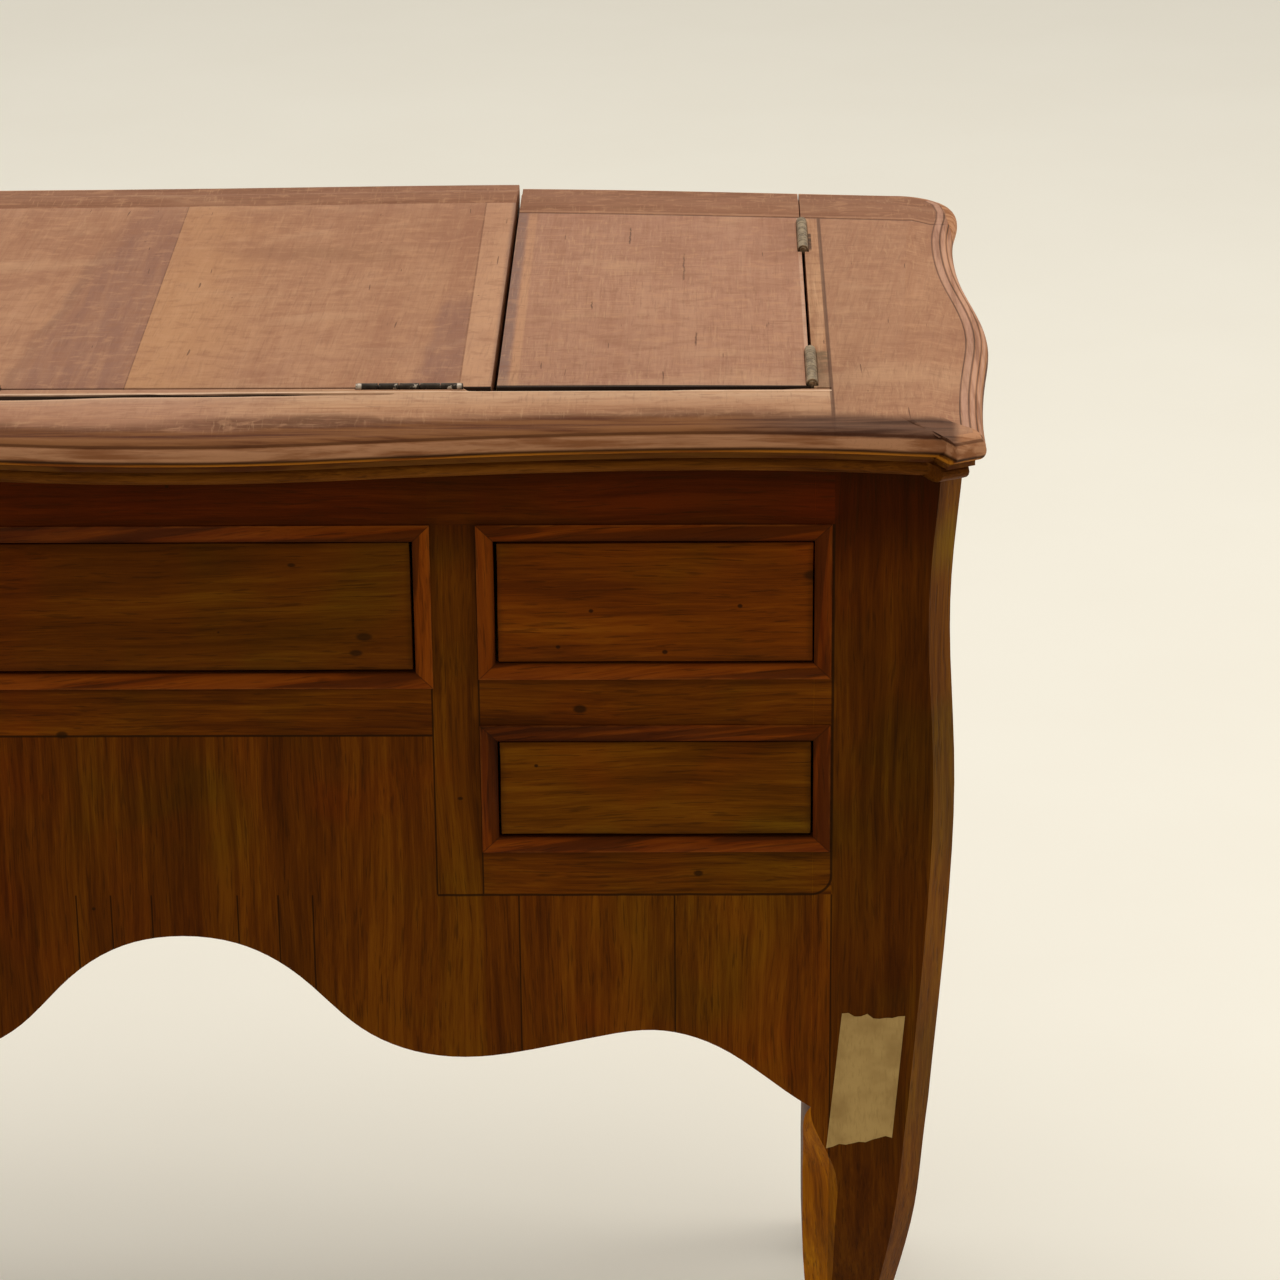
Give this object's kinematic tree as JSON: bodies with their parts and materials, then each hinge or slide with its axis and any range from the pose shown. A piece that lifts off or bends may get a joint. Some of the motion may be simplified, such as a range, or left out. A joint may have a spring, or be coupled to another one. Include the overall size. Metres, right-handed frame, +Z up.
{
  "type": "dressing table",
  "caption": "Walnut dressing table on cabriole legs, with a lift-up mirror lid between two hinged side lids over shallow wells, and drawers that run through the case.",
  "frame": {"origin": "on the floor, under the middle of the table", "axes": "+X to the right along the hinge side's face, +Y from the hinge side to the sitter's side, +Z up"},
  "size_m": [0.9474, 0.5, 0.7639],
  "materials": {
    "top_walnut": "worn, sun-faded walnut with an old wax finish",
    "moulding_walnut": "worn stained walnut, olive-brown below and pinkish on the crown",
    "case_walnut": "dark aged walnut veneer, satin",
    "band_walnut": "reddish cross-grained veneer, satin",
    "drawer_front_walnut": "dark walnut veneer, satin",
    "inner_poplar": "unfinished softwood, aged",
    "hinge_brass": "dull grey-brown tarnished brass",
    "knob_brass": "aged brass",
    "screw_steel": "dull steel",
    "mirror": "silvered glass",
    "mirror_frame_wood": "stained walnut moulding"
  },
  "bodies": {
    "case": {"apron_hinge_side": "case_walnut", "apron_sitter_side": "case_walnut", "bands_hinge_side": "band_walnut", "bands_sitter_side": "band_walnut", "bead_moulding": "moulding_walnut", "drawer_rails_hinge_side": "case_walnut", "drawer_rails_sitter_side": "case_walnut", "drawer_runners": "inner_poplar", "hinge_fixed_leaves": "hinge_brass", "hinge_pins": "hinge_brass", "hinge_screws": "screw_steel", "leg_hinge_side_left": "case_walnut", "leg_hinge_side_right": "case_walnut", "leg_sitter_side_left": "case_walnut", "leg_sitter_side_right": "case_walnut", "partitions": "inner_poplar", "side_panel_left": "case_walnut", "side_panel_right": "case_walnut", "stiles_hinge_side": "case_walnut", "stiles_sitter_side": "case_walnut", "top_board_left": "top_walnut", "top_board_right": "top_walnut", "top_end_strips": "top_walnut", "top_hinge_rail": "top_walnut", "top_rail_hinge_side": "case_walnut", "top_rail_sitter_side": "case_walnut", "well_dividers": "inner_poplar", "well_floor": "inner_poplar", "well_walls": "top_walnut"},
    "centre_lid": {"centre_lid_panel": "top_walnut", "centre_lid_lipping": "top_walnut", "centre_lid_hinge_leaves": "hinge_brass", "mirror_frame": "mirror_frame_wood", "mirror_glass": "mirror"},
    "left_lid": {"left_lid_panel": "top_walnut", "left_lid_lipping": "top_walnut", "left_lid_hinge_leaves": "hinge_brass"},
    "right_lid": {"right_lid_panel": "top_walnut", "right_lid_lipping": "top_walnut", "right_lid_hinge_leaves": "hinge_brass"},
    "centre_drawer": {"centre_drawer_hinge_side_front": "drawer_front_walnut", "centre_drawer_sitter_side_front": "drawer_front_walnut", "centre_drawer_box": "inner_poplar", "centre_drawer_knob": "knob_brass"},
    "upper_left_drawer": {"upper_left_drawer_hinge_side_front": "drawer_front_walnut", "upper_left_drawer_sitter_side_front": "drawer_front_walnut", "upper_left_drawer_box": "inner_poplar", "upper_left_drawer_knob": "knob_brass"},
    "upper_right_drawer": {"upper_right_drawer_hinge_side_front": "drawer_front_walnut", "upper_right_drawer_sitter_side_front": "drawer_front_walnut", "upper_right_drawer_box": "inner_poplar", "upper_right_drawer_knob": "knob_brass"},
    "lower_left_drawer": {"lower_left_drawer_hinge_side_front": "drawer_front_walnut", "lower_left_drawer_sitter_side_front": "drawer_front_walnut", "lower_left_drawer_box": "inner_poplar", "lower_left_drawer_knob": "knob_brass"},
    "lower_right_drawer": {"lower_right_drawer_hinge_side_front": "drawer_front_walnut", "lower_right_drawer_sitter_side_front": "drawer_front_walnut", "lower_right_drawer_box": "inner_poplar", "lower_right_drawer_knob": "knob_brass"}
  },
  "joints": [
    {"name": "centre_lid_hinge", "type": "hinge", "parent": "case", "child": "centre_lid", "pos_m": [0, -0.164, 0.7605], "axis": [1, 0, 0], "range_deg": [0, 100]},
    {"name": "right_lid_hinge", "type": "hinge", "parent": "case", "child": "right_lid", "pos_m": [0.3666, 0, 0.7605], "axis": [0, 1, 0], "range_deg": [0, 180]},
    {"name": "left_lid_hinge", "type": "hinge", "parent": "case", "child": "left_lid", "pos_m": [-0.3666, 0, 0.7605], "axis": [0, -1, 0], "range_deg": [0, 180]},
    {"name": "centre_drawer_slide", "type": "slide", "parent": "case", "child": "centre_drawer", "axis": [0, 1, 0], "range_m": [-0.24, 0.24]},
    {"name": "upper_left_drawer_slide", "type": "slide", "parent": "case", "child": "upper_left_drawer", "axis": [0, 1, 0], "range_m": [-0.24, 0.24]},
    {"name": "upper_right_drawer_slide", "type": "slide", "parent": "case", "child": "upper_right_drawer", "axis": [0, 1, 0], "range_m": [-0.24, 0.24]},
    {"name": "lower_left_drawer_slide", "type": "slide", "parent": "case", "child": "lower_left_drawer", "axis": [0, 1, 0], "range_m": [-0.24, 0.24]},
    {"name": "lower_right_drawer_slide", "type": "slide", "parent": "case", "child": "lower_right_drawer", "axis": [0, 1, 0], "range_m": [-0.24, 0.24]}
  ]
}
